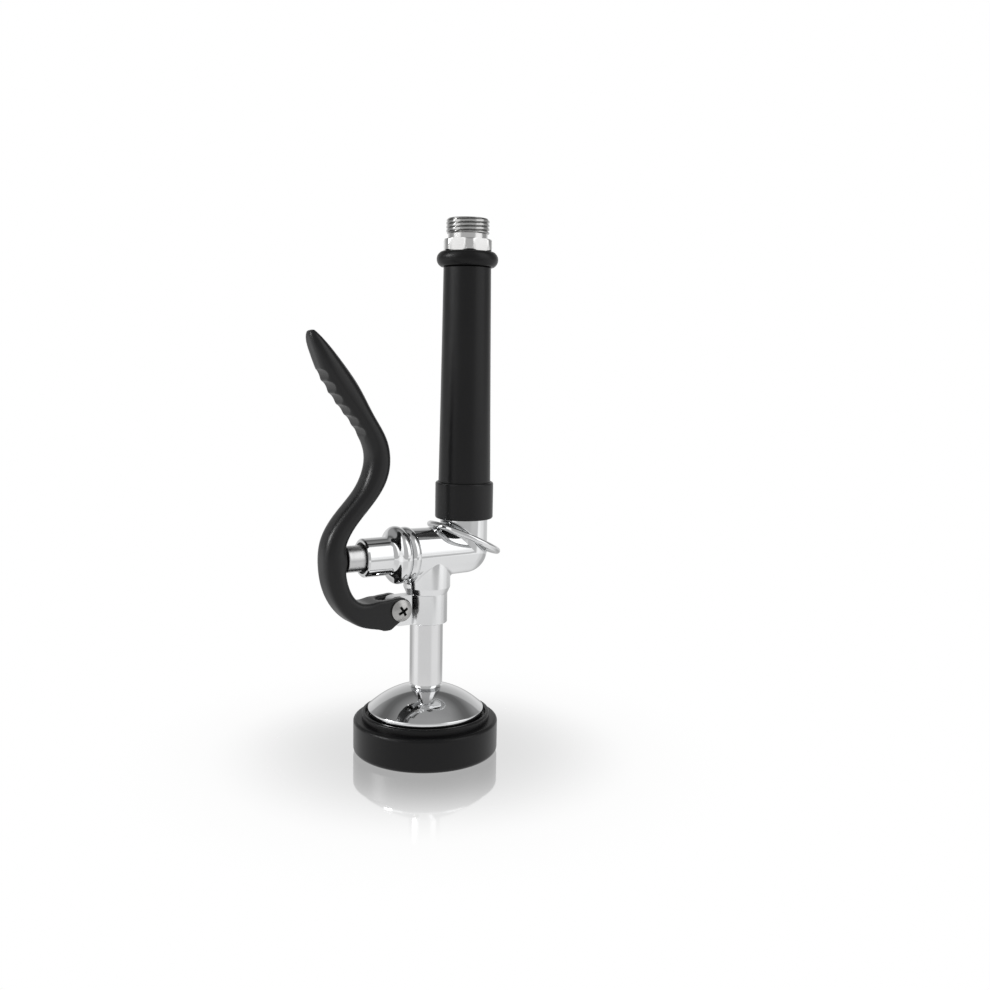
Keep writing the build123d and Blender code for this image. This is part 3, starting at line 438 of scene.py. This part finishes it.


# ---- return spring ---------------------------------------------------------------------------
# Coil of drawn stainless wire between the plunger's flange and the valve seat. Its seat end stays
# where it is.
wire_steel = turned_steel("spring_wire", (1, 1, 70), steel_low, steel_high, 0.24)
dress(wire_steel, "return_spring")
coil_low, coil_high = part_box("return_spring")
coil = add_object("sprung_coil", frame["nodes"]["return_spring"].data.copy())
stroke = next(joint["range_m"][1] for joint in frame["record"]["behaviour"]["joints"]
              if joint["name"] == "plunger_slide")
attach(coil, "sprayer")
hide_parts("return_spring")
1 - stroke / (coil_high[0] - coil_low[0])
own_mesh(coil)


# ---- inlet nipple ----------------------------------------------------------------------------
# Satin nickel-plated brass, turned from round bar: six wrench flats, a relief groove and a
# half-inch pipe thread of just over four turns, with a counterbore on top for the washer.
def satin_nickel(axis, root_r, thread_low):
    """Satin nickel, duller on the thread, with painted shade in its roots."""
    finish, wire = new_finish("satin_nickel")
    place = here(wire)
    rings = patches(wire, here(wire, (1, 1, 40)), 60.0, 3.0)
    wear = patches(wire, place, 130.0)
    flat = wire.node("ShaderNodeVectorMath", {"operation": "MULTIPLY"}, {0: place, 1: (1, 1, 0)})
    radius = wire.node("ShaderNodeVectorMath", {"operation": "DISTANCE"},
                       {0: flat, 1: axis}, "Value")
    on_thread = place.along((0, 0, 1)).ease(thread_low, thread_low + 0.0004)
    # Painted shade: the thread's roots are coloured dark, where shade falls between the crests.
    painted_root_shade = 1 - radius.ease(root_r + 0.00005, root_r + 0.0005)
    colour = tint(wire, wear, (0.60, 0.598, 0.592, 1), (0.74, 0.737, 0.73, 1))
    colour = tint(wire, on_thread * (0.28 + 0.42 * painted_root_shade), colour, (0.10, 0.10, 0.098, 1))
    rough = 0.12 + rings * 0.10
    normal = bump(wire, rings, 0.00002, 0.3)
    close_metal(wire, colour, rough, normal)
    return finish


foot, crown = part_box("inlet_nipple")
nipple_x, nipple_y = (foot[0] + crown[0]) / 2, (foot[1] + crown[1]) / 2
spigot_r, spigot_l = 0.00705, 0.0135
hex_foot = foot[2] + spigot_l
hex_h, hex_flat, hex_bar_r, hex_chamfer = 0.0058, 0.0113, 0.01225, 0.0006
hex_turn = math.radians(4.4)
relief_r, relief_l = 0.0096, 0.0025
thread_r, thread_root_r, thread_pitch, thread_chamfer = 0.01048, 0.00968, 0.001814, 0.0008
thread_foot = hex_foot + hex_h + relief_l
counterbore_r, counterbore_l, bore_r = 0.00835, 0.0022, 0.0056
nickel = satin_nickel((nipple_x, nipple_y, 0), thread_root_r, thread_foot)
dress(nickel, "inlet_nipple")
steps_round, steps_per_turn = 96, 14


def hexagon_radius(turn, up):
    """Outline of the milled bar at a turn from its axis and a height above its foot."""
    from_flat = turn % (math.pi / 3) - math.pi / 6
    edge = max(0.0, hex_chamfer - up, up - (hex_h - hex_chamfer))
    return min(hex_bar_r - edge, hex_flat / math.cos(from_flat))


def thread_radius(turn, up, length):
    """Flat crest and narrow root of a right-hand thread that fades at both ends."""
    wave = 0.5 - 0.5 * math.cos(2 * math.pi * (up / thread_pitch - turn / (2 * math.pi)))
    crest = min(1.0, 1.9 * wave)
    radius = thread_root_r + (thread_r - thread_root_r) * crest
    return min(radius, relief_r + 1.6 * up, thread_r - max(0.0, up - length + thread_chamfer))


def nipple_rows():
    """Rings of the outline from the spigot's foot, up outside and down inside."""
    rows = [(foot[2], lambda turn: spigot_r), (hex_foot, lambda turn: spigot_r)]
    for share in (0, 0.5, 1):
        up = hex_chamfer * share
        rows.append((hex_foot + up, lambda turn, up=up: hexagon_radius(turn, up)))
    for share in (1, 0.5, 0):
        up = hex_h - hex_chamfer * share
        rows.append((hex_foot + up, lambda turn, up=up: hexagon_radius(turn, up)))
    rows.append((hex_foot + hex_h, lambda turn: relief_r))
    length = crown[2] - thread_foot
    steps = round(length / thread_pitch * steps_per_turn)
    for step in range(steps + 1):
        up = length * step / steps
        rows.append((thread_foot + up, lambda turn, up=up: thread_radius(turn, up, length)))
    seat = crown[2] - counterbore_l
    rows += [(crown[2], lambda turn: counterbore_r), (seat, lambda turn: counterbore_r),
             (seat, lambda turn: bore_r), (foot[2], lambda turn: bore_r)]
    return rows


def ring_mesh(name, rows):
    """Closed mesh through rings about the nipple's axis."""
    points, faces = [], []
    for height, radius in rows:
        for step in range(steps_round):
            turn = 2 * math.pi * step / steps_round
            out = radius(turn)
            points.append((nipple_x + out * math.cos(turn + hex_turn),
                           nipple_y + out * math.sin(turn + hex_turn), height))
    for row in range(len(rows)):
        above = (row + 1) % len(rows)
        for step in range(steps_round):
            beside = (step + 1) % steps_round
            faces.append((row * steps_round + step, row * steps_round + beside,
                          above * steps_round + beside, above * steps_round + step))
    mesh = bpy.data.meshes.new(name)
    mesh.from_pydata(points, [], faces)
    mesh.shade_smooth()
    mesh.set_sharp_from_angle(angle=math.radians(34))
    return mesh


nipple = add_object("threaded_nipple", ring_mesh("threaded_nipple", nipple_rows()))
nipple.data.materials.append(nickel)
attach(nipple, "sprayer")
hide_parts("inlet_nipple")


# ---- brass works -----------------------------------------------------------------------------
# The seat, the stem with its cup and nut, and the tube in the grip are machined from bare brass
# and screwed or pressed together out of sight.
def bare_brass():
    finish, wire = new_finish("bare_brass")
    wear = patches(wire, here(wire), 120.0)
    colour = tint(wire, wear, (0.62, 0.44, 0.17, 1), (0.78, 0.60, 0.28, 1))
    close_finish(wire, {"Metallic": 1.0}, {"Base Color": colour, "Roughness": 0.25 + wear * 0.2})
    return finish


dress(bare_brass(), "valve_seat", "valve_stem", "disc_holder", "disc_nut", "grip_tube")


# ---- black mouldings -------------------------------------------------------------------------
# The sleeve of the grip and its cuff are soft plastic. The bumper, the bead and all seals are
# rubber. Both are moulded, with a fine even skin.
def black_moulding(name, dark, pale_spot, rough_low, rough_more, shine, grain, depth):
    """Black skin with a faint cloud in its colour and gloss, and a fine grain."""
    finish, wire = new_finish(name)
    place = here(wire)
    cloud = patches(wire, place, 45.0)
    skin = patches(wire, place, grain, 2.0)
    colour = tint(wire, cloud, dark, pale_spot)
    rough = rough_low + cloud * rough_more
    normal = bump(wire, skin, depth, 0.6)
    close_finish(wire, {"Specular IOR Level": shine},
                 {"Base Color": colour, "Roughness": rough, "Normal": normal})
    return finish


dress(black_moulding("sleeve_plastic", (0.005, 0.005, 0.0055, 1), (0.009, 0.009, 0.0095, 1),
                     rough_low=0.27, rough_more=0.08, shine=0.26, grain=1800.0, depth=0.00002),
      "grip_sleeve", "grip_cuff")
dress(black_moulding("rubber", (0.003, 0.003, 0.0033, 1), (0.0055, 0.0055, 0.006, 1),
                     rough_low=0.30, rough_more=0.09, shine=0.22, grain=1400.0, depth=0.00003),
      "bumper_ring", "grip_bead", "bell_seal", "face_seal", "outlet_seal", "bonnet_seal",
      "plunger_wiper", "plunger_seal", "seat_washer", "neck_seal", "nipple_seal", "inlet_washer")


# ---- lever -----------------------------------------------------------------------------------
# A glass-filled nylon moulding, rounded all over, with six scoops for the fingers. Its skin is
# the solid's own form with the edges run soft, as they leave the mould, and the scoops a little
# deeper, with a sharp ridge between each two. The fork stays flat-sided for the bracket's lug.
nylon = black_moulding("nylon", (0.004, 0.004, 0.0045, 1), (0.007, 0.007, 0.0075, 1),
                       rough_low=0.27, rough_more=0.08, shine=0.35, grain=1500.0, depth=0.00002)
dress(nylon, "lever")

lever = add_object("lever_moulding", frame["nodes"]["lever"].data.copy())
skin = lever.modifiers.new("skin", "REMESH")
skin.mode = "VOXEL"
skin.voxel_size = 0.00045
skinned = lever.evaluated_get(bpy.context.evaluated_depsgraph_get())
lever.data = bpy.data.meshes.new_from_object(skinned)
lever.data.name = "lever_moulding"
lever.modifiers.clear()
lever.data.shade_smooth()
lever.data.materials.clear()
lever.data.materials.append(nylon)


def step_up(value, low, high):
    """Soft step from 0 at low to 1 at high."""
    share = min(1.0, max(0.0, (value - low) / (high - low)))
    return share * share * (3 - 2 * share)


# Each scoop is a round bar's print across the lever, its centre given from the pivot.
scoop_r = 0.0040
scoops = [(pivot.x + x, pivot.z + z) for x, z in (
    (-0.0405, 0.1111), (-0.0369, 0.1055), (-0.0333, 0.0998),
    (-0.0294, 0.0946), (-0.0253, 0.0896), (-0.0219, 0.0846))]
bow, edges = lever.vertex_groups.new(name="bow"), lever.vertex_groups.new(name="edges")
for point in lever.data.vertices:
    away = min((Vector((point.co.x - x, 0, point.co.z - z)) for x, z in scoops),
               key=lambda gap: gap.length)
    beside = step_up(away.length, scoop_r + 0.0002, scoop_r + 0.0025)
    if away.length < scoop_r:
        point.co += away.normalized() * (scoop_r - away.length)
    from_pivot = math.hypot(point.co.x - pivot.x, point.co.z - pivot.z)
    along_bow = step_up(from_pivot, 0.021, 0.031) * (1 - step_up(point.co.z, 0.156, 0.170))
    bow.add([point.index], along_bow * beside, "REPLACE")
    edges.add([point.index], 0.5 + 0.5 * beside, "REPLACE")
for name, rounds, group in (("soft_edges", 12, "edges"), ("round_bow", 70, "bow")):
    soft = lever.modifiers.new(name, "SMOOTH")
    soft.factor = 0.5
    soft.iterations = rounds
    soft.vertex_group = group
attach(lever, "lever")
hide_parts("lever")
